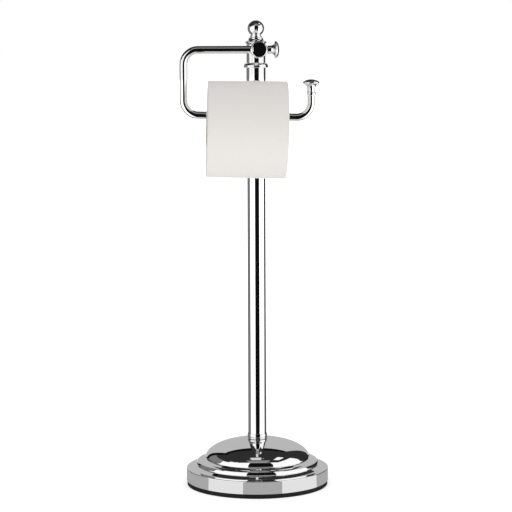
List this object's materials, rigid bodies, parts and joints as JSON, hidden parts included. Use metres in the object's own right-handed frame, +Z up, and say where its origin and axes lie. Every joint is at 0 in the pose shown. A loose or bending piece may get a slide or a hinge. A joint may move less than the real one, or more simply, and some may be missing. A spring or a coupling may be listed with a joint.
{
  "type": "freestanding toilet paper holder",
  "caption": "Chromed floor stand with a round weighted base, a slim pole, a ball finial and a bent arm that carries a toilet roll in front of the pole.",
  "frame": {"origin": "centre of the base pad's underside, on the floor", "axes": "+Z up along the pole, +X to the viewer's right, -Y towards the viewer, where the arm and the roll are"},
  "size_m": [0.1893, 0.2319, 0.6],
  "materials": {
    "base_shell": "polished chrome plate",
    "base_weight": "black painted casting",
    "base_pad": "matt black foam rubber",
    "fasteners": "zinc plated",
    "pole": "polished chrome plate",
    "inserts": "plain turned brass",
    "head": "polished chrome plate",
    "arm": "polished chrome plate",
    "core": "plain grey cardboard",
    "tissue": "soft white tissue"
  },
  "bodies": {
    "root": {"base_pad": "base_pad", "base_weight": "base_weight", "base_shell": "base_shell", "base_bolt": "fasteners", "base_lock_washer": "fasteners", "base_washer": "fasteners", "pole_foot_ring": "pole", "pole_tube": "pole", "pole_lower_insert": "inserts", "pole_upper_insert": "inserts", "head_sleeve": "head", "head_flange": "head", "head_body": "head", "head_cap": "head", "finial": "head", "head_stud": "fasteners", "finial_stud": "fasteners", "post_stud": "fasteners", "arm_post": "arm", "arm_grub_screw": "fasteners", "arm_rod": "arm", "top_knob": "arm", "end_knob": "arm"},
    "roll": {"roll_core": "core", "paper_roll": "tissue"}
  },
  "joints": [
    {"name": "roll_spin", "type": "hinge", "parent": "root", "child": "roll", "pos_m": [-0.0155, -0.08, 0.46398], "axis": [0.9997, 0, -0.0262], "continuous": true}
  ]
}
